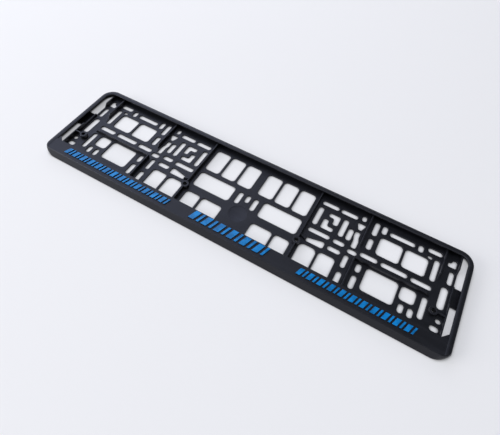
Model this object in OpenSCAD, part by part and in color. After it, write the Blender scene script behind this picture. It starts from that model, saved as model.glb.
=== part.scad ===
// Car number plate holder: a one-piece moulded tray that a pressed metal plate slides into.
// The origin is the middle of the back's outline, on the back. X runs along the holder, Y runs up
// across it towards the plate's top edge, and Z points out of the front.

/* [Number plate] */
// Length of the plate
plate_l = 520; // [480:1:560]
// Height of the plate
plate_w = 110; // [104:1:120]
// Thickness of the plate
plate_t = 1; // [0.8:0.1:1.6]
// Play between the plate's edge and the rim
edge_play = 1.1; // [0.5:0.1:2]
// Play between the plate's face and the lip above it
face_play = 0.3; // [0.1:0.1:1]

/* [Rim] */
// Thickness of the outer walls and of the stop wall under the strip
wall_t = 2; // [1.4:0.1:2.6]
// How far the outer walls lean in from the back to the front edge
wall_lean = 4; // [1:0.5:6]
// Thickness of the lip's edge and of the strip's face
lip_t = 1.5; // [1:0.1:2.5]
// How far the lip and the strip reach over the plate
lip_grip = 3.4; // [2:0.1:5]
// Height of the lip's rounded crown above its edges
crown_h = 0.6; // [0.2:0.1:1.2]
// Radius that rounds the outer edge of the front, all the way round
edge_r = 1; // [0.5:0.1:1.4]
// Radius of the rim's far corners at the front edge
corner_r = 16; // [12:0.5:20]
// Radius of the strip's own corners at the front edge, which is smaller
strip_corner_r = 9; // [5:0.5:11]
// Width of the wide strip below the plate, from its outer edge on the back to its inner edge
strip_w = 22; // [18:0.5:40]
// Length of each side of the small web in the corner of lip and strip
corner_web_l = 7; // [3:0.5:9]
// Thickness of that web
corner_web_t = 0.9; // [0.6:0.1:1]

/* [Panel] */
// Thickness of the panel
panel_t = 2; // [1.2:0.1:3]
// Height of the plate's back above the holder's back
support_h = 7; // [5:0.5:12]
// Width of the long slot between the panel and each end wall, at the back
end_slot_w = 13.8; // [11:0.2:16]
// Radius of that slot's corners
end_slot_r = 2.5; // [1:0.1:4]
// Height of the bridge that crosses each end slot
bridge_w = 23.3; // [15:0.1:28]
// Width of the plain edge that the panel keeps along the stop wall
hem_w = 2.5; // [1.5:0.1:4]
// Diameter of the shallow round field in the middle of the panel
field_d = 23; // [16:0.5:24]
// Depth of that field
field_depth = 0.3; // [0.1:0.1:0.6]

/* [Ribs] */
// Thickness of the ribs
rib_t = 1.5; // [1:0.1:1.8]
// Distance of the middle ribs from the centre line
mid_rib_x = 142.5; // [138:0.5:148]
// Distance of the outer ribs from the panel's end
outer_rib_inset = 18.2; // [17:0.1:20]
// Height of the end rib where it crosses the bridge
low_rib_h = 5; // [3:0.1:5]
// Number of stiffening ribs across the hollow behind the strip
strip_ribs = 11; // [3:2:15]

/* [Screws] */
// Distance between the two inner screw holes
screw_spacing = 153; // [146:1:158]
// Height of the inner screw holes above the plate's lower edge
screw_h = 30; // [28:0.5:32]
// How much lower the outer screw holes are than the inner ones
outer_screw_drop = 2; // [0:0.5:4]
// Distance of the outer screw holes from the panel's end
outer_screw_inset = 13.9; // [13:0.1:15]
// Diameter of the screw holes
screw_d = 5; // [3:0.1:6]
// Diameter of the bosses round them
boss_d = 9.6; // [8:0.1:9.8]
// Height of the slanting web that braces each inner boss's rib
brace_h = 5; // [3:0.1:6.5]

/* [Openings] */
// Width of the narrow slots
slot_w = 6.5; // [5:0.1:7]
// Corner radius of the windows
window_r = 4.5; // [2:0.1:6]
// Radius of the window corner that makes room for each inner boss
boss_corner_r = 6.5; // [6.3:0.1:9]
// Width of the webs between neighbouring windows
web_w = 2.7; // [2:0.1:4]
// Corner radius of the angled and notched slots
bend_r = 2.4; // [1:0.1:2.4]

/* [Raised marks] */
// Height of the raised bars on the strip
mark_h = 1; // [0.5:0.1:1.5]
// Thickness of the blue foil on the bars
foil_t = 0.15; // [0.1:0.05:0.3]
// Height of the bars in the two side groups, along Y
side_mark_w = 8.6; // [6:0.1:10]
// Distance of the bars' feet from the strip's outer edge on the back
mark_base = 8.8; // [6:0.1:10]
// Plain margin between the taller bars of the middle group and the strip's inner edge
mark_margin = 1.2; // [0.5:0.1:3]
// Angle at which the bars lean, from the Y direction
mark_rake = 20; // [0:1:30]

/* [Hidden] */
$fn = 64;

BLACK = [0.13, 0.13, 0.15];
BLUE = [0.10, 0.50, 0.80];

// Heights above the back
lip_z = support_h + plate_t + face_play;
edge_z = lip_z + lip_t;
crown_z = edge_z + crown_h;

// Insets from the back's outer edge, and the back's outline
function lean_at(z) = wall_lean * z / edge_z;
function mid_wall(z) = lean_at(z) + wall_t / 2;
plate_inset = edge_play + wall_t + lean_at(lip_z);
lip_inset = plate_inset + lip_grip;
base_x = plate_l / 2 + plate_inset;
base_y = (strip_w - lip_grip + plate_w + plate_inset) / 2;
base_r = corner_r + wall_lean;
corner_x = base_x - base_r;
corner_y = base_y - base_r;
lip_x = base_x - lip_inset;

// Where the rounded edge runs out on the flat front, and the lip's crown begins
edge_half_angle = (90 + atan(wall_lean / edge_z)) / 2;
shoulder = edge_r / tan(edge_half_angle);
crown_w = lip_inset - wall_lean - shoulder;

// Lines across the holder, from the strip up to the far wall
strip_y = strip_w - base_y;
plate_low_y = strip_y - lip_grip;
stop_y = plate_low_y - edge_play;
pocket_y = plate_low_y + plate_w + edge_play;
screw_y = plate_low_y + screw_h;
outer_screw_y = screw_y - outer_screw_drop;
open_low_y = stop_y + hem_w;

// Lines along the holder
panel_x = base_x - wall_t - end_slot_w;
screw_x = screw_spacing / 2;
outer_rib_x = panel_x - outer_rib_inset;
outer_screw_x = panel_x - outer_screw_inset;
end_rib_x = panel_x - rib_t / 2;

// The openings are drawn for a holder of the standard size, and these two functions carry each
// place over to the lines of this one, so that the pattern keeps to its ribs and screws.
drawn_x = [[0, 0], [76.5, screw_x], [142.5, mid_rib_x], [232.5, outer_rib_x], [250.7, panel_x]];
drawn_y = [[-50, stop_y], [-18.9, screw_y], [62.2, pocket_y]];
function at_x(x) = sign(x) * lookup(abs(x), drawn_x);
function at_y(y) = lookup(y, drawn_y);

bridge_y = at_y(-5.3);
bridge_top_y = bridge_y + bridge_w;
rib_foot_z = panel_t / 2;
rib_rise = support_h - panel_t;

// The arc that rounds corner p of an outline between the points a and b
arc_steps = 8;
function corner_arc(a, p, b, r) =
  let (
    u = (a - p) / norm(a - p),
    v = (b - p) / norm(b - p),
    half = acos(u * v) / 2,
    c = p + (u + v) / norm(u + v) * r / sin(half),
    from = p + u * r / tan(half) - c,
    to = p + v * r / tan(half) - c,
    start = atan2(from.y, from.x),
    turn = (atan2(to.y, to.x) - start + 540) % 360 - 180
  )
  [for (i = [0:arc_steps]) c + r * [cos(start + turn * i / arc_steps), sin(start + turn * i / arc_steps)]];

module both_halves() {
  children();
  mirror([1, 0, 0]) children();
}

// An outline with every corner rounded
module rounded_outline(points, r) {
  n = len(points);
  polygon([for (i = [0:n - 1]) each corner_arc(points[(i + n - 1) % n], points[i], points[(i + 1) % n], r)]);
}

// A rectangle with corners of radius r, given by its limits
module rounded_rect(x0, x1, y0, y1, r) {
  translate([x0 + r, y0]) square([x1 - x0 - 2 * r, y1 - y0]);
  translate([x0, y0 + r]) square([x1 - x0, y1 - y0 - 2 * r]);
  for (x = [x0 + r, x1 - r], y = [y0 + r, y1 - r])
    translate([x, y]) circle(r);
}

// The back's outline, moved inwards
module outline(inset) {
  rounded_rect(inset - base_x, base_x - inset, inset - base_y, base_y - inset, base_r - inset);
}

// A slot with round ends that stands along Y, centred on x
module tall_slot(x, y0, y1, w = slot_w) {
  translate([at_x(x) - w / 2, at_y(y0) + w / 2]) square([w, at_y(y1) - at_y(y0) - w]);
  for (y = [at_y(y0) + w / 2, at_y(y1) - w / 2])
    translate([at_x(x), y]) circle(w / 2);
}

// A slot with round ends that lies along X, centred on y
module long_slot(x0, x1, y, w = slot_w) {
  translate([at_x(x0) + w / 2, at_y(y) - w / 2]) square([at_x(x1) - at_x(x0) - w, w]);
  for (x = [at_x(x0) + w / 2, at_x(x1) - w / 2])
    translate([x, at_y(y)]) circle(w / 2);
}

module window(x0, x1, y0, y1) {
  rounded_rect(at_x(x0), at_x(x1), at_y(y0), at_y(y1), window_r);
}

// A window that runs down behind the strip, as far as the hem
module low_window(x0, x1, y1, r = window_r) {
  rounded_rect(at_x(x0), at_x(x1), open_low_y, at_y(y1), r);
}

// A slot of any other form, through drawn points
module drawn_slot(points, r = bend_r) {
  rounded_outline([for (p = points) [at_x(p.x), at_y(p.y)]], r);
}

// Openings between the centre line and the inner rib
module centre_openings() {
  row_x0 = 5;
  row_x1 = 71.8;
  windows = 3;
  pitch = (row_x1 - row_x0 + web_w) / windows;
  for (i = [0:windows - 1])
    window(row_x0 + i * pitch, row_x0 + (i + 1) * pitch - web_w, 17, 52.5);
  window(20.2, 71.5, -12, 11.5);
  tall_slot(10.7, -9, 9.5);
  low_window(20.4, 51 - web_w, -22.2);
  low_window(51, 71, -22.2);
}

// Openings between the inner and the middle rib
module inner_openings() {
  long_slot(81.8, 103.6, 48.6);
  long_slot(106.3, 128, 48.6);
  tall_slot(84.4, 13.5, 41.5);
  drawn_slot([[92.3, 28.5], [98.8, 28.5], [98.8, 20], [107.6, 20], [107.6, 13.5], [92.3, 13.5]]);
  drawn_slot([[110, 24.3], [103.5, 24.3], [103.5, 32.6], [95.8, 32.6], [95.8, 39], [110, 39]]);
  tall_slot(117.5, 13.5, 40);
  tall_slot(127, 13.5, 31);
  tall_slot(135.1, 47.5, 55.8, 5.7);
  drawn_slot([[129.3, 43.8], [141, 43.8], [137, 33.8], [133.3, 33.8]], 1.6);
  drawn_slot([[131.7, 31], [138, 31], [138, 23.5], [139.7, 18], [139.7, 7], [133.3, 7], [133.3, 18], [131.7, 23.5]]);
  long_slot(81.3, 108.6, 5.3);
  long_slot(112.8, 127.1, 5.3);
  long_slot(131.9, 143.6, 1.7);
  drawn_slot([[85, -12.2], [106.5, -12.2], [106.5, -2.5], [102.5, -2.8], [85, -6.3]]);
  long_slot(110.5, 126.6, -6.5);
  tall_slot(134.4, -22.5, -4.6, 5.8);
  low_window(81, 105 - web_w, -16.2, boss_corner_r);
  low_window(105, 125.4, -16.2);
  translate([at_x(134.8) - slot_w / 2, open_low_y]) square([slot_w, at_y(-27.8) - open_low_y - slot_w / 2]);
  translate([at_x(134.8), at_y(-27.8) - slot_w / 2]) circle(slot_w / 2);
}

// Openings between the middle and the outer rib
module outer_openings() {
  tall_slot(152, 35.1, 55.4);
  tall_slot(161.7, 42.8, 55.2);
  long_slot(168.4, 199.4, 47.7);
  tall_slot(206.3, 42.4, 52.4);
  long_slot(213.7, 230.9, 51.2);
  long_slot(215.5, 221.3, 41.7, 4.4);
  tall_slot(152, 14.3, 30.6);
  window(160.8, 191.3 - web_w, 13.2, 38.8);
  window(191.3, 218.7, 13.2, 38.8);
  tall_slot(227.4, 13.5, 42.8);
  long_slot(146.4, 167.7, 4.9);
  long_slot(171.2, 202.7, 4.9);
  long_slot(206.2, 230, 4.3);
  tall_slot(151.2, -19.1, -7.5);
  tall_slot(151.2, -41, -23.4);
  window(159.8, 197.6, -36.6, -7.2);
  window(200.4, 218, -25, -7.6);
  tall_slot(206.5, -39.8, -28.5);
  tall_slot(216.9, -39.8, -28.5);
  tall_slot(227, -35.5, -8.4);
}

// Openings between the outer rib and the panel's end
module end_openings() {
  drawn_slot([[238.5, 41.4], [248.2, 41.4], [248.2, 51.8], [242.6, 51.8], [242.6, 47.6], [238.5, 47.6]], 2);
  tall_slot(245.4, 18.4, 36.4, 6);
  tall_slot(243.1, -14.2, 14.2, 8.4);
  long_slot(242.3, 248.6, -27.9, 5.4);
  long_slot(238.5, 248.6, -37.6);
}

// The long slots beside the panel's ends, one above and one below the bridge
module end_slots() {
  past_wall = base_x + end_slot_w;
  rounded_rect(panel_x, past_wall, open_low_y, bridge_y, end_slot_r);
  rounded_rect(panel_x, past_wall, bridge_top_y, pocket_y, end_slot_r);
}

module panel() {
  inset = (lean_at(panel_t) + wall_t) / 2;
  linear_extrude(panel_t)
    difference() {
      intersection() {
        outline(inset);
        translate([-base_x, stop_y - wall_t / 2]) square([2 * base_x, 2 * base_y]);
      }
      tall_slot(0, -2, 9.5, 6);
      both_halves() {
        centre_openings();
        inner_openings();
        outer_openings();
        end_openings();
        end_slots();
      }
    }
}

// Sections of the rim, drawn with x as the distance from a far corner's centre and y as height.
// This is what the rounding of the front's outer edge takes off them.
module edge_waste() {
  down = [wall_lean, -edge_z] / norm([wall_lean, edge_z]);
  corner = [corner_r, edge_z];
  centre = corner + [-shoulder, -edge_r];
  difference() {
    polygon([
      corner - [shoulder, 0],
      centre,
      corner + shoulder * down,
      corner + [edge_r, edge_r]
    ]);
    translate(centre) circle(edge_r);
  }
}

module wall_section() {
  difference() {
    polygon([
      [base_r, 0],
      [corner_r, edge_z],
      [corner_r - wall_t, edge_z],
      [base_r - wall_t, 0]
    ]);
    edge_waste();
  }
}

// The wall with all that lies inside it, and the hollow that is left behind the strip
module solid_section() {
  difference() {
    polygon([[0, 0], [base_r, 0], [corner_r, edge_z], [0, edge_z]]);
    edge_waste();
  }
}

module hollow_section() {
  inner_r = base_r - wall_t;
  polygon([[0, -1], [inner_r - lean_at(-1), -1], [inner_r - lean_at(lip_z), lip_z], [0, lip_z]]);
}

module crown_section() {
  crown_r = (pow(crown_w / 2, 2) + pow(crown_h, 2)) / (2 * crown_h);
  middle = corner_r - shoulder - crown_w / 2;
  intersection() {
    translate([middle - crown_w / 2, edge_z]) square([crown_w, crown_h]);
    translate([middle, crown_z - crown_r]) circle(crown_r);
  }
}

module lip_section() {
  wall_section();
  translate([base_r - lip_inset, lip_z]) square([lip_inset - mid_wall(edge_z), lip_t]);
  crown_section();
}

// Sweeps a section along Y, and round a corner
module straight(length) {
  rotate([90, 0, 0]) linear_extrude(length, center = true) children();
}

module round_corner() {
  rotate_extrude(angle = 90) children();
}

// Sweeps a section round one of the strip's corners, with the smaller radius at the front edge
module round_strip_corner() {
  shift = corner_r - strip_corner_r;
  translate([shift, shift, 0])
    rotate_extrude(angle = 90)
      intersection() {
        translate([-shift, 0]) children();
        translate([0, -base_r]) square(2 * base_r);
      }
  translate([0, shift, 0]) rotate([90, 0, 0]) linear_extrude(shift) children();
  rotate([90, 0, 90]) linear_extrude(shift) children();
}

// The four walls, with the crowned lip on the ends and the far side
module rim() {
  translate([0, corner_y, 0]) rotate(90) straight(2 * corner_x) lip_section();
  translate([0, -corner_y, 0]) rotate(-90) straight(2 * corner_x) wall_section();
  both_halves() {
    translate([corner_x, 0, 0]) straight(2 * corner_y) lip_section();
    translate([corner_x, corner_y, 0]) round_corner() lip_section();
    strip_corner();
    crown_end();
  }
}

// A corner of the strip: the leaning walls meet with the smaller radius, and the back's larger one
// is cut straight up through them
module strip_corner() {
  translate([corner_x, -corner_y, 0])
    rotate(-90)
      difference() {
        intersection() {
          round_strip_corner() solid_section();
          cylinder(r = base_r, h = edge_z);
        }
        intersection() {
          round_strip_corner() hollow_section();
          translate([0, 0, -1]) cylinder(r = base_r - wall_t, h = lip_z + 1);
        }
      }
}

// The end lip's crown runs on across the strip's corner and dies out at its rounded edge
module crown_end() {
  translate([corner_x, -corner_y, 0])
    intersection() {
      translate([0, -base_r / 2, 0]) straight(base_r) crown_section();
      rotate(-90) round_strip_corner() polygon([
        [0, edge_z],
        [corner_r - shoulder, edge_z],
        [corner_r - shoulder - lean_at(crown_h), crown_z],
        [0, crown_z]
      ]);
    }
}

module strip_face() {
  translate([0, 0, lip_z])
    linear_extrude(lip_t)
      intersection() {
        outline(mid_wall(edge_z));
        translate([-base_x, -base_y]) square([2 * base_x, strip_w]);
      }
}

// The web in the corner of lip and strip, a little lower than both
module corner_web() {
  translate([lip_x, strip_y, lip_z])
    linear_extrude(corner_web_t)
      polygon([
        [wall_t, -wall_t],
        [wall_t, corner_web_l],
        [0, corner_web_l],
        [-corner_web_l, 0],
        [-corner_web_l, -wall_t]
      ]);
}

// The wall behind the strip that the plate's lower edge stands against
module stop_wall() {
  translate([0, stop_y, 0])
    rotate([90, 0, 0])
      linear_extrude(wall_t)
        polygon([
          [mid_wall(0) - base_x, 0],
          [base_x - mid_wall(0), 0],
          [base_x - mid_wall(edge_z), edge_z],
          [mid_wall(edge_z) - base_x, edge_z]
        ]);
}

// A rib across the holder at x, given by its side view: [y, z] points
module cross_rib(x, points) {
  translate([x, 0, 0])
    rotate([90, 0, 90])
      linear_extrude(rib_t, center = true)
        polygon(points);
}

// Ribs across the hollow behind the strip
module strip_hollow_ribs() {
  pitch = 2 * corner_x / (strip_ribs - 1);
  for (i = [0:strip_ribs - 1])
    cross_rib(i * pitch - corner_x, [
      [mid_wall(0) - base_y, 0],
      [stop_y - wall_t / 2, 0],
      [stop_y - wall_t / 2, edge_z - lip_t / 2],
      [mid_wall(edge_z) - base_y, edge_z - lip_t / 2]
    ]);
}

// A rib from the far wall down to y, with a sloping end if it ends free
module far_rib(x, y, slope = 0) {
  cross_rib(x, [
    [y, rib_foot_z],
    [base_y - mid_wall(rib_foot_z), rib_foot_z],
    [base_y - mid_wall(support_h), support_h],
    [y + slope, support_h],
    [y, support_h - slope]
  ]);
}

// A rib from the stop wall up to y
module near_rib(x, y) {
  cross_rib(x, [
    [stop_y - wall_t / 2, rib_foot_z],
    [y, rib_foot_z],
    [y, support_h],
    [stop_y - wall_t / 2, support_h]
  ]);
}

// A rib along the holder at y
module along_rib(x0, x1, y, slope = 0) {
  translate([0, y, 0])
    rotate([90, 0, 0])
      linear_extrude(rib_t, center = true)
        polygon([
          [x0, rib_foot_z],
          [x1, rib_foot_z],
          [x1, support_h - slope],
          [x1 - slope, support_h],
          [x0, support_h]
        ]);
}

// The low web that slants from the inner rib to the slot beside its boss
module brace() {
  from = [at_x(77), at_y(-8)];
  to = [at_x(84), at_y(-11)];
  translate([from.x, from.y, rib_foot_z])
    rotate(atan2(to.y - from.y, to.x - from.x))
      translate([0, -rib_t / 2, 0])
        cube([norm(to - from), rib_t, brace_h - rib_foot_z]);
}

// The rib on the panel's end edge, cut down beside the upper slot and lower at the bridge
module end_rib() {
  notch_y = at_y(35.5);
  cross_rib(end_rib_x, [
    [stop_y - wall_t / 2, rib_foot_z],
    [base_y - mid_wall(rib_foot_z), rib_foot_z],
    [base_y - mid_wall(support_h), support_h],
    [notch_y + rib_rise, support_h],
    [notch_y, panel_t],
    [bridge_top_y, panel_t],
    [bridge_top_y, low_rib_h],
    [bridge_y, low_rib_h],
    [bridge_y, support_h],
    [stop_y - wall_t / 2, support_h]
  ]);
}

module ribs() {
  mid_rib_y = at_y(-5.4);
  far_rib(screw_x, screw_y);
  near_rib(screw_x, screw_y);
  brace();
  far_rib(mid_rib_x, at_y(12), rib_rise);
  near_rib(mid_rib_x, mid_rib_y + rib_t / 2);
  along_rib(mid_rib_x, at_x(230), mid_rib_y, rib_rise);
  far_rib(outer_rib_x, at_y(21), rib_rise);
  along_rib(outer_screw_x, end_rib_x, outer_screw_y);
  end_rib();
}

module screw_places() {
  translate([screw_x, screw_y, 0]) children();
  translate([outer_screw_x, outer_screw_y, 0]) children();
}

// A row of raised bars, wide and narrow in turn, that fills the strip from x0 to x1
module bar_row(x0, x1, height) {
  wide = 0.58 * height;
  narrow = 0.26 * height;
  gap = 0.28 * height;
  period = wide + narrow + 2 * gap;
  rake = height * tan(mark_rake);
  count = floor((x1 - x0 - rake + gap) / period);
  start = (x0 + x1 - rake - count * period + gap) / 2;
  for (i = [0:count - 1])
    for (bar = [[0, wide], [wide + gap, narrow]])
      translate([start + i * period + bar[0], mark_base - base_y])
        polygon([[0, 0], [bar[1], 0], [bar[1] + rake, height], [rake, height]]);
}

module mark_outlines() {
  bar_row(at_x(-235), at_x(-72), side_mark_w);
  bar_row(at_x(-48.6), at_x(61.4), strip_w - mark_base - mark_margin);
  bar_row(at_x(89), at_x(231), side_mark_w);
}

module raised_bars() {
  root = lip_t / 2;
  translate([0, 0, edge_z - root])
    linear_extrude(root + mark_h)
      mark_outlines();
}

module holder() {
  color(BLACK)
    difference() {
      union() {
        panel();
        rim();
        strip_face();
        stop_wall();
        strip_hollow_ribs();
        raised_bars();
        both_halves() {
          corner_web();
          ribs();
          screw_places() cylinder(d = boss_d, h = support_h);
        }
      }
      both_halves() screw_places() translate([0, 0, -1]) cylinder(d = screw_d, h = support_h + 2);
      translate([0, at_y(-21), panel_t - field_depth]) cylinder(d = field_d, h = panel_t);
    }
}

// The blue hot-stamped foil on top of the raised bars
module foil_marks() {
  color(BLUE)
    translate([0, 0, edge_z + mark_h])
      linear_extrude(foil_t)
        mark_outlines();
}

holder();
foil_marks();
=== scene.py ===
from math import cos, pi, radians, sin

import bmesh
import bpy
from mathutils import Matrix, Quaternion, Vector
from mathutils.kdtree import KDTree


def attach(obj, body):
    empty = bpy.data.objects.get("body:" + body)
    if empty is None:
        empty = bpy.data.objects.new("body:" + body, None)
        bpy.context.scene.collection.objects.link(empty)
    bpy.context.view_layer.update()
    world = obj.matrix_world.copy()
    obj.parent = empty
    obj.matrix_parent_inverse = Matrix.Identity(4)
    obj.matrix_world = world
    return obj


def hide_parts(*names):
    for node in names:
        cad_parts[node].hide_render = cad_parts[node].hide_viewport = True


# The looks of a car number plate holder: black moulded plastic with blue foil on its raised bars.
# Everything is in metres, in the holder's own frame: X along it, Y up across it, Z out of the front.
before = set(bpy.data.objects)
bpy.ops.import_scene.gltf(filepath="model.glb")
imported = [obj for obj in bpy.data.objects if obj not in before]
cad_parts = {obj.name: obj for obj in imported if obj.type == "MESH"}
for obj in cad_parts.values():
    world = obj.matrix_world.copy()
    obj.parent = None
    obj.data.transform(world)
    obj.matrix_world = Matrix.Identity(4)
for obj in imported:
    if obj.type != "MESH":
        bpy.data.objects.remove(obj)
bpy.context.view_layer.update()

MM = 0.001

# The camera looks down on the holder from in front and from the right. Its angles are in degrees,
# and its lens and its sensor's width in millimetres.
VIEW_TARGET = Vector((14.75, -16.86, 0)) * MM
VIEW_DISTANCE = 451.24 * MM
VIEW_AZIMUTH = 25.209
VIEW_ELEVATION = 58.095
VIEW_ROLL = 4.9615
LENS = 27.204
SENSOR = 36

# How wide the soft edges of the moulding and of the foil are, the angle from which an edge is
# softened, and the one from which it shows as a crease
MOULDING_EDGE = 0.2 * MM
FOIL_EDGE = 0.06 * MM
SOFT_ANGLE = radians(35)
CREASE_ANGLE = radians(50)

# Where softening would fold a face back on the next one, the edges near the fold stay as they are,
# and each further try reaches this much farther
FOLD_ANGLE = radians(150)
KEEP_REACH = 0.9 * MM
TRIES = 4

# Where an edge to be softened ends, the next edge of its face may not lie closer to it than this
# cosine says, and it must lead this many soft widths away. One that runs nearly straight on, past
# the last cosine, needs no such room.
TIGHT_CORNER = 0.9
CLEAR_WIDTHS = 2.4
STRAIGHT_ON = -0.94

# The flat back keeps its edges, and so do the tops of the raised bars, which their foil covers
BACK = 0.05 * MM
BAR_TOP = 10.7 * MM
FOIL_TOP = 11 * MM

# Corners closer than this are merged, edges shorter than this are closed up, and faces that lie
# this nearly in one plane are made whole
MERGE_REACH = 0.03 * MM
SHORTEST_EDGE = 0.0005 * MM
FLAT_ANGLE = radians(0.5)

# The shallow round field in the middle of the panel, which is polished and a little hollow
FIELD_CENTRE = Vector((0, -21.04, 1.7)) * MM
FIELD_RADIUS = 11.5 * MM
FIELD_HOLLOW = 0.4 * MM

# The fine grain on both materials stands this high
GRAIN_HEIGHT = 0.02 * MM

# The floor reaches this far each way, just clear of the holder's back, and its glow fades this
# close to what stands on it, as a painted contact shadow
FLOOR_REACH = 4
FLOOR_GAP = 0.05 * MM
FLOOR_GLOW = 0.41
CONTACT_SHADE_REACH = 3.5 * MM


def linear(r, g, b):
    """A colour given in display values from 0 to 255, as the linear colour that shaders take."""
    def channel(v):
        v = v / 255
        return v / 12.92 if v <= 0.04045 else ((v + 0.055) / 1.055) ** 2.4
    return (channel(r), channel(g), channel(b), 1)


def fill(tree, socket, value):
    """Links a node's output to an input, or writes a plain value there."""
    if isinstance(value, bpy.types.NodeSocket):
        tree.links.new(value, socket)
    else:
        socket.default_value = value


def add_node(tree, kind, inputs=None, **settings):
    """Adds a node, sets its properties, and links or fills its inputs."""
    made = tree.nodes.new(kind)
    for name, value in settings.items():
        setattr(made, name, value)
    for name, value in (inputs or {}).items():
        fill(tree, made.inputs[name], value)
    return made


def new_material(name):
    """An empty node material: its tree and its output node."""
    material = bpy.data.materials.new(name)
    material.use_nodes = True
    material.node_tree.nodes.clear()
    output = add_node(material.node_tree, "ShaderNodeOutputMaterial")
    return material, material.node_tree, output


def noise(tree, place, scale, detail=2, roughness=0.5):
    """Smooth noise, scale features to the metre."""
    made = add_node(tree, "ShaderNodeTexNoise", {
        "Vector": place, "Scale": scale, "Detail": detail, "Roughness": roughness,
    })
    return made.outputs["Fac"]


def remap(tree, value, low, high, to_low, to_high):
    """Carries a value from one range to another and clamps it there."""
    made = add_node(tree, "ShaderNodeMapRange", {
        "Value": value, "From Min": low, "From Max": high, "To Min": to_low, "To Max": to_high,
    })
    return made.outputs["Result"]


def calculate(tree, operation, a, b):
    """Two values joined by one step of arithmetic."""
    return add_node(tree, "ShaderNodeMath", {0: a, 1: b}, operation=operation).outputs[0]


def mix_colours(tree, factor, a, b):
    """Colour a where the factor is 0, and b where it is 1."""
    made = add_node(tree, "ShaderNodeMix", data_type="RGBA")
    # The names of this node's sockets stand for several each, so they are picked by number
    fill(tree, made.inputs[0], factor)
    fill(tree, made.inputs[6], a)
    fill(tree, made.inputs[7], b)
    return made.outputs[2]


def moulded_plastic():
    """Black moulded plastic: satin, finely grained, a little cloudy, with faint flow marks."""
    material, tree, output = new_material("moulded_plastic")
    place = add_node(tree, "ShaderNodeTexCoord").outputs["Object"]
    along = add_node(tree, "ShaderNodeMapping", {"Vector": place, "Scale": (0.12, 1, 1)})
    cloud = noise(tree, place, 16, detail=3)
    flow = noise(tree, along.outputs["Vector"], 190, detail=3, roughness=0.6)
    grain = noise(tree, place, 2300, detail=2)

    # Cloudy black with paler streaks, and paler still on the rounded edges: partly rubbed wear, partly a
    # painted edge highlight
    dark = mix_colours(tree, remap(tree, cloud, 0.3, 0.7, 0, 1), linear(9, 9, 12), linear(18, 18, 22))
    streaks = remap(tree, flow, 0.55, 0.75, 0, 0.45)
    streaked = mix_colours(tree, streaks, dark, linear(30, 30, 35))
    edge = add_node(tree, "ShaderNodeAttribute", attribute_name="worn_and_highlit_edge").outputs["Fac"]
    patchy = remap(tree, noise(tree, place, 60, detail=3), 0.35, 0.65, 0.1, 0.7)
    worn_and_highlit = calculate(tree, "MULTIPLY", edge, patchy)
    colour = mix_colours(tree, worn_and_highlit, streaked, linear(50, 50, 56))

    # The round field is smoother than the rest, and dished
    from_field = add_node(tree, "ShaderNodeVectorMath", {0: place, 1: FIELD_CENTRE}, operation="DISTANCE")
    distance = from_field.outputs["Value"]
    dish = calculate(tree, "POWER", remap(tree, distance, 0, FIELD_RADIUS, 0, 1), 2)
    polish = remap(tree, distance, 0.93 * FIELD_RADIUS, FIELD_RADIUS, 0.14, 0)
    rough = calculate(tree, "SUBTRACT", remap(tree, flow, 0.3, 0.7, 0.38, 0.52), polish)
    hollow = add_node(tree, "ShaderNodeBump", {"Height": dish, "Distance": FIELD_HOLLOW})
    bump = add_node(tree, "ShaderNodeBump", {
        "Height": grain, "Strength": 0.45, "Distance": GRAIN_HEIGHT, "Normal": hollow.outputs["Normal"],
    })
    # The bluish tint of its reflections is a painted reflection colour: it stands in for the bluish
    # daylight from the window
    shader = add_node(tree, "ShaderNodeBsdfPrincipled", {
        "Base Color": colour,
        "Roughness": rough,
        "Specular IOR Level": 0.39,
        "Specular Tint": (0.88, 0.89, 1.0, 1),
        "Normal": bump.outputs["Normal"],
    })
    fill(tree, output.inputs["Surface"], shader.outputs["BSDF"])
    return material


def blue_foil():
    """Hot-stamped blue foil: smooth and bright, a little uneven where it was pressed on."""
    material, tree, output = new_material("stamped_foil")
    place = add_node(tree, "ShaderNodeTexCoord").outputs["Object"]
    uneven = noise(tree, place, 120, detail=3)
    grain = noise(tree, place, 1500, detail=2)
    blues = remap(tree, uneven, 0.35, 0.65, 0, 1)
    bump = add_node(tree, "ShaderNodeBump", {"Height": grain, "Strength": 0.3, "Distance": GRAIN_HEIGHT})
    shader = add_node(tree, "ShaderNodeBsdfPrincipled", {
        "Base Color": mix_colours(tree, blues, linear(0, 98, 156), linear(0, 126, 196)),
        "Roughness": remap(tree, uneven, 0.3, 0.7, 0.22, 0.34),
        "Specular IOR Level": 0.35,
        "Normal": bump.outputs["Normal"],
    })
    fill(tree, output.inputs["Surface"], shader.outputs["BSDF"])
    return material


def merged_copy(node_name):
    """A CAD node's mesh with its loose triangles joined, and flat faces made whole."""
    shape = bmesh.new()
    shape.from_mesh(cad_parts[node_name].data)
    bmesh.ops.remove_doubles(shape, verts=shape.verts, dist=MERGE_REACH)
    bmesh.ops.dissolve_degenerate(shape, edges=shape.edges, dist=SHORTEST_EDGE)
    bmesh.ops.dissolve_limit(shape, angle_limit=FLAT_ANGLE, verts=shape.verts, edges=shape.edges)
    return shape


def has_room(edge, width):
    """Whether the faces at an edge leave room, at both of its ends, for it to be softened."""
    for face in edge.link_faces:
        for corner in face.loops:
            ahead, behind = corner.edge, corner.link_loop_prev.edge
            if edge not in (ahead, behind):
                continue
            other = behind if ahead == edge else ahead
            along = (edge.other_vert(corner.vert).co - corner.vert.co).normalized()
            away = other.other_vert(corner.vert).co - corner.vert.co
            turn = along.dot(away.normalized())
            across = (away - along * away.dot(along)).length
            if turn > TIGHT_CORNER or turn > STRAIGHT_ON and across < CLEAR_WIDTHS * width:
                return False
    return True


def spots(edge):
    """Three places on an edge: its two ends and its middle."""
    start, end = (vert.co.copy() for vert in edge.verts)
    return start, (start + end) / 2, end


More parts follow.
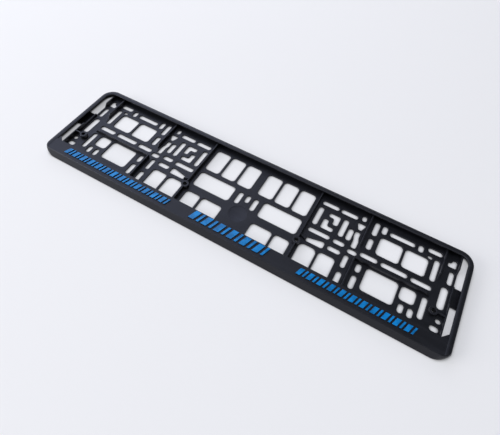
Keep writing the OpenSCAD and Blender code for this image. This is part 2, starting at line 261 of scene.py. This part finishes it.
def soften_edges(shape, width, bottom, top, kept, reach):
    """Rounds the outer edges that have room for it, apart from those within reach of a kept spot."""
    places = KDTree(len(kept))
    for number, spot in enumerate(kept):
        places.insert(spot, number)
    places.balance()
    worn_and_highlit = shape.faces.layers.float.new("worn_and_highlit_edge")
    edges = [
        edge for edge in shape.edges
        if edge.calc_face_angle_signed(0) > SOFT_ANGLE
        and bottom < max(vert.co.z for vert in edge.verts) < top
        and has_room(edge, width)
        and not any(places.find_range(spot, reach) for spot in spots(edge))
    ]
    made = bmesh.ops.bevel(
        shape, geom=edges, offset=width, offset_type="OFFSET", segments=2, profile=0.5,
        affect="EDGES", clamp_overlap=False, material=-1, loop_slide=True,
    )
    # The rounded faces get the paler edge colour, which is partly rubbed wear and partly a painted
    # highlight
    for face in made["faces"]:
        face[worn_and_highlit] = 1
    bmesh.ops.triangulate(shape, faces=[face for face in shape.faces if len(face.verts) > 4])
    bmesh.ops.dissolve_degenerate(shape, edges=shape.edges, dist=SHORTEST_EDGE)


def softened_shape(node_name, width, bottom, top):
    """A node's merged copy with soft edges. After the first try, those near a fold are left sharp."""
    kept = []
    for attempt in range(TRIES):
        shape = merged_copy(node_name)
        soften_edges(shape, width, bottom, top, kept, KEEP_REACH * attempt)
        folds = [edge for edge in shape.edges if edge.calc_face_angle(0) > FOLD_ANGLE]
        if not folds or attempt == TRIES - 1:
            break
        kept += [spot for edge in folds for spot in spots(edge)]
        shape.free()
    return shape


def soften_node(node_name, piece_name, width, material, bottom, top):
    """Stands a softened copy in for a CAD node."""
    shape = softened_shape(node_name, width, bottom, top)
    for face in shape.faces:
        face.smooth = True
        face.material_index = 0
    for edge in shape.edges:
        edge.smooth = edge.calc_face_angle(0) < CREASE_ANGLE

    mesh = bpy.data.meshes.new(piece_name)
    shape.to_mesh(mesh)
    shape.free()
    # The CAD's own normals no longer fit the softened shape
    if "custom_normal" in mesh.attributes:
        mesh.attributes.remove(mesh.attributes["custom_normal"])
    mesh.materials.append(material)
    piece = bpy.data.objects.new(piece_name, mesh)
    bpy.context.scene.collection.objects.link(piece)
    shading = piece.modifiers.new("flat_faces", "WEIGHTED_NORMAL")
    shading.keep_sharp = True
    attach(piece, "root")
    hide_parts(node_name)


def make_camera():
    """The camera, leaning a little to one side."""
    camera = bpy.data.objects.new("camera", bpy.data.cameras.new("camera"))
    bpy.context.scene.collection.objects.link(camera)
    azimuth, elevation = radians(VIEW_AZIMUTH), radians(VIEW_ELEVATION)
    back = Vector((sin(azimuth) * cos(elevation), -cos(azimuth) * cos(elevation), sin(elevation)))
    camera.location = VIEW_TARGET + back * VIEW_DISTANCE
    camera.rotation_mode = "QUATERNION"
    level = (-back).to_track_quat("-Z", "Y")
    camera.rotation_quaternion = level @ Quaternion((0, 0, 1), radians(VIEW_ROLL))
    camera.data.lens = LENS
    camera.data.sensor_width = SENSOR
    bpy.context.scene.camera = camera


def soft_light(name, centre, width, height, radiance, colour=(1, 1, 1)):
    """A large rectangular lamp aimed at the holder. Its power follows from the brightness of its face."""
    data = bpy.data.lights.new(name, "AREA")
    data.shape = "RECTANGLE"
    data.size = width
    data.size_y = height
    data.energy = radiance * width * height * pi
    data.color = colour
    lamp = bpy.data.objects.new(name, data)
    lamp.location = centre
    lamp.rotation_mode = "QUATERNION"
    lamp.rotation_quaternion = (-Vector(centre)).to_track_quat("-Z", "Y")
    bpy.context.scene.collection.objects.link(lamp)


def light_the_scene():
    """A window at the back left, a pale ceiling, a strong lamp at the front left and a far wall."""
    soft_light("window", (-1.6, 1.0, 1.5), 2.4, 2.4, 1.65, (0.71, 0.77, 1.0))
    soft_light("ceiling", (-0.3, -0.6, 2.2), 2.5, 2.5, 1.15, (0.91, 0.95, 1.0))
    soft_light("lamp_at_left", (-2.8, -1.7, 1.2), 2.4, 1.6, 9.0, (0.94, 0.96, 1.0))
    soft_light("far_wall", (-0.6, 1.9, 0.9), 2.0, 0.9, 1.5)
    world = bpy.data.worlds.new("studio")
    world.use_nodes = True
    background = world.node_tree.nodes["Background"]
    background.inputs["Color"].default_value = (0.82, 0.90, 1.0, 1)
    background.inputs["Strength"].default_value = 0.23
    bpy.context.scene.world = world


def floor_material():
    """A pale table that glows a little to the eye. Its glow fades in the narrow corners where things
    touch it, as a painted contact shadow and painted shade in the holes.
    """
    material, tree, output = new_material("pale_floor")
    table = add_node(tree, "ShaderNodeBsdfPrincipled", {
        "Base Color": (0.47, 0.452, 0.436, 1), "Roughness": 0.9, "Specular IOR Level": 0.2,
    })
    rays = add_node(tree, "ShaderNodeLightPath").outputs
    mirrored = calculate(tree, "MAXIMUM", rays["Is Glossy Ray"], rays["Is Transmission Ray"])
    seen = calculate(tree, "MAXIMUM", rays["Is Camera Ray"], mirrored)
    # Where the glow fades near what touches the floor, the shade is painted: a contact shadow along the
    # holder and darkness in its screw holes
    painted_shade_ao = add_node(tree, "ShaderNodeAmbientOcclusion", {"Distance": CONTACT_SHADE_REACH}).outputs["AO"]
    strength = calculate(tree, "MULTIPLY", seen, remap(tree, painted_shade_ao, 0.45, 0.95, 0, FLOOR_GLOW))
    glow = add_node(tree, "ShaderNodeEmission", {"Color": (0.94, 0.95, 1.0, 1), "Strength": strength})
    both = add_node(tree, "ShaderNodeAddShader", {0: table.outputs["BSDF"], 1: glow.outputs["Emission"]})
    fill(tree, output.inputs["Surface"], both.outputs["Shader"])
    return material


def make_floor():
    """A wide pale floor just under the holder's back."""
    shape = bmesh.new()
    bmesh.ops.create_grid(shape, x_segments=1, y_segments=1, size=FLOOR_REACH)
    bmesh.ops.translate(shape, verts=shape.verts, vec=(0, 0, -FLOOR_GAP))
    mesh = bpy.data.meshes.new("floor")
    shape.to_mesh(mesh)
    shape.free()
    mesh.materials.append(floor_material())
    floor = bpy.data.objects.new("floor", mesh)
    bpy.context.scene.collection.objects.link(floor)


bpy.context.scene.view_settings.view_transform = "Standard"
make_camera()
light_the_scene()
make_floor()
soften_node("holder", "holder_moulding", MOULDING_EDGE, moulded_plastic(), BACK, BAR_TOP)
soften_node("foil_marks", "foil_tops", FOIL_EDGE, blue_foil(), BACK, FOIL_TOP)
